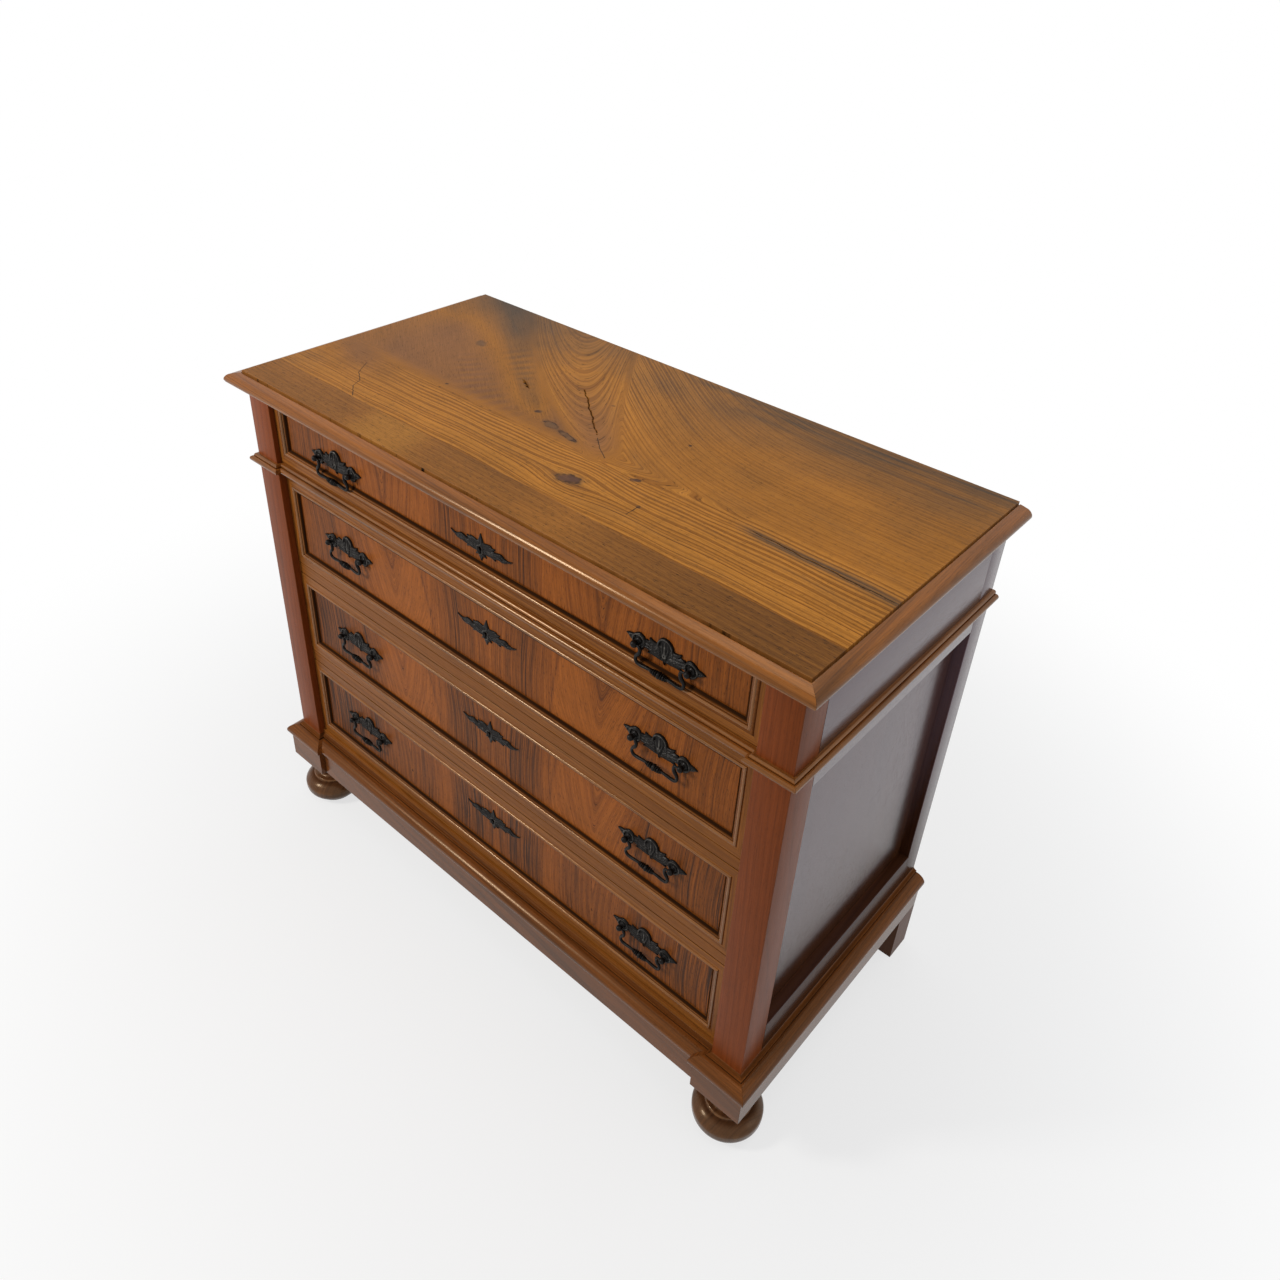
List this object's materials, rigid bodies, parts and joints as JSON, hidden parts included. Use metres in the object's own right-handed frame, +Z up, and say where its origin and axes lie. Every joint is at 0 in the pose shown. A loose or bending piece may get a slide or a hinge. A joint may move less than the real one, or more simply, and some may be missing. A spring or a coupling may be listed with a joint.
{
  "type": "bachelors chest",
  "caption": "Walnut chest of four dovetailed drawers with framed fronts, drop handles, a waist moulding, a stepped plinth, bun feet in front and block feet behind.",
  "frame": {"origin": "on the floor, at the middle of the width and of the depth of the top", "axes": "+X along the width to the right seen from the front, +Y towards the back, +Z up"},
  "size_m": [1.124, 0.539, 0.93],
  "materials": {
    "walnut_top": "french-polished golden walnut boards, knots and age cracks",
    "walnut_top_front": "french-polished darker walnut, grain along the width",
    "walnut_moulding": "high-gloss polished walnut mouldings",
    "walnut_figured": "polished figured walnut with dark vertical streaks",
    "walnut_frame": "polished red-brown walnut, upright grain",
    "walnut_sides": "polished walnut, slightly worn gloss",
    "walnut_feet": "dark polished turned walnut",
    "oak": "dry planed oak, waxed",
    "pine": "rough-planed pine, aged",
    "dark_bronze": "blackened cast brass, rubbed bright on the high spots",
    "steel": "filed steel, dull"
  },
  "bodies": {
    "carcass": {"top_board": "walnut_top", "top_front_board": "walnut_top_front", "top_edge_moulding": "walnut_moulding", "front_post_left": "walnut_frame", "front_post_right": "walnut_frame", "back_posts": "walnut_frame", "side_rails": "walnut_sides", "side_panel_left": "walnut_sides", "side_panel_right": "walnut_sides", "top_front_rail": "walnut_frame", "drawer_blade_1": "walnut_frame", "drawer_blade_2": "walnut_frame", "drawer_blade_3": "walnut_frame", "bottom_rail": "walnut_frame", "waist_moulding": "walnut_moulding", "plinth_front": "walnut_moulding", "plinth_sides": "walnut_moulding", "back_rails": "pine", "back_boards": "pine", "drawer_runners": "pine", "kickers": "pine", "bun_foot_left": "walnut_feet", "bun_foot_right": "walnut_feet", "rear_feet": "walnut_feet"},
    "drawer_1": {"drawer_1_front": "walnut_figured", "drawer_1_box": "oak", "drawer_1_bottom": "oak", "drawer_1_lock": "steel", "drawer_1_escutcheon": "dark_bronze", "drawer_1_handle_plates": "dark_bronze"},
    "drawer_1_bolt": {"drawer_1_lock_bolt": "steel"},
    "drawer_1_bail_left": {"drawer_1_bail_left": "dark_bronze"},
    "drawer_1_bail_right": {"drawer_1_bail_right": "dark_bronze"},
    "drawer_2": {"drawer_2_front": "walnut_figured", "drawer_2_box": "oak", "drawer_2_bottom": "oak", "drawer_2_lock": "steel", "drawer_2_escutcheon": "dark_bronze", "drawer_2_handle_plates": "dark_bronze"},
    "drawer_2_bolt": {"drawer_2_lock_bolt": "steel"},
    "drawer_2_bail_left": {"drawer_2_bail_left": "dark_bronze"},
    "drawer_2_bail_right": {"drawer_2_bail_right": "dark_bronze"},
    "drawer_3": {"drawer_3_front": "walnut_figured", "drawer_3_box": "oak", "drawer_3_bottom": "oak", "drawer_3_lock": "steel", "drawer_3_escutcheon": "dark_bronze", "drawer_3_handle_plates": "dark_bronze"},
    "drawer_3_bolt": {"drawer_3_lock_bolt": "steel"},
    "drawer_3_bail_left": {"drawer_3_bail_left": "dark_bronze"},
    "drawer_3_bail_right": {"drawer_3_bail_right": "dark_bronze"},
    "drawer_4": {"drawer_4_front": "walnut_figured", "drawer_4_box": "oak", "drawer_4_bottom": "oak", "drawer_4_lock": "steel", "drawer_4_escutcheon": "dark_bronze", "drawer_4_handle_plates": "dark_bronze"},
    "drawer_4_bolt": {"drawer_4_lock_bolt": "steel"},
    "drawer_4_bail_left": {"drawer_4_bail_left": "dark_bronze"},
    "drawer_4_bail_right": {"drawer_4_bail_right": "dark_bronze"}
  },
  "joints": [
    {"name": "drawer_1_slide", "type": "slide", "parent": "carcass", "child": "drawer_1", "axis": [0, -1, 0], "range_m": [0, 0.36]},
    {"name": "drawer_1_bolt_slide", "type": "slide", "parent": "drawer_1", "child": "drawer_1_bolt", "axis": [0, 0, 1], "range_m": [0, 0.008]},
    {"name": "drawer_1_bail_left_swing", "type": "hinge", "parent": "drawer_1", "child": "drawer_1_bail_left", "pos_m": [-0.331, -0.24, 0.833], "axis": [-1, 0, 0], "range_deg": [0, 95]},
    {"name": "drawer_1_bail_right_swing", "type": "hinge", "parent": "drawer_1", "child": "drawer_1_bail_right", "pos_m": [0.331, -0.24, 0.833], "axis": [-1, 0, 0], "range_deg": [0, 95]},
    {"name": "drawer_2_slide", "type": "slide", "parent": "carcass", "child": "drawer_2", "axis": [0, -1, 0], "range_m": [0, 0.36]},
    {"name": "drawer_2_bolt_slide", "type": "slide", "parent": "drawer_2", "child": "drawer_2_bolt", "axis": [0, 0, 1], "range_m": [0, 0.008]},
    {"name": "drawer_2_bail_left_swing", "type": "hinge", "parent": "drawer_2", "child": "drawer_2_bail_left", "pos_m": [-0.331, -0.236, 0.6746], "axis": [-1, 0, 0], "range_deg": [0, 95]},
    {"name": "drawer_2_bail_right_swing", "type": "hinge", "parent": "drawer_2", "child": "drawer_2_bail_right", "pos_m": [0.331, -0.236, 0.6746], "axis": [-1, 0, 0], "range_deg": [0, 95]},
    {"name": "drawer_3_slide", "type": "slide", "parent": "carcass", "child": "drawer_3", "axis": [0, -1, 0], "range_m": [0, 0.36]},
    {"name": "drawer_3_bolt_slide", "type": "slide", "parent": "drawer_3", "child": "drawer_3_bolt", "axis": [0, 0, 1], "range_m": [0, 0.008]},
    {"name": "drawer_3_bail_left_swing", "type": "hinge", "parent": "drawer_3", "child": "drawer_3_bail_left", "pos_m": [-0.331, -0.236, 0.4786], "axis": [-1, 0, 0], "range_deg": [0, 95]},
    {"name": "drawer_3_bail_right_swing", "type": "hinge", "parent": "drawer_3", "child": "drawer_3_bail_right", "pos_m": [0.331, -0.236, 0.4786], "axis": [-1, 0, 0], "range_deg": [0, 95]},
    {"name": "drawer_4_slide", "type": "slide", "parent": "carcass", "child": "drawer_4", "axis": [0, -1, 0], "range_m": [0, 0.36]},
    {"name": "drawer_4_bolt_slide", "type": "slide", "parent": "drawer_4", "child": "drawer_4_bolt", "axis": [0, 0, 1], "range_m": [0, 0.008]},
    {"name": "drawer_4_bail_left_swing", "type": "hinge", "parent": "drawer_4", "child": "drawer_4_bail_left", "pos_m": [-0.331, -0.236, 0.2826], "axis": [-1, 0, 0], "range_deg": [0, 95]},
    {"name": "drawer_4_bail_right_swing", "type": "hinge", "parent": "drawer_4", "child": "drawer_4_bail_right", "pos_m": [0.331, -0.236, 0.2826], "axis": [-1, 0, 0], "range_deg": [0, 95]}
  ]
}
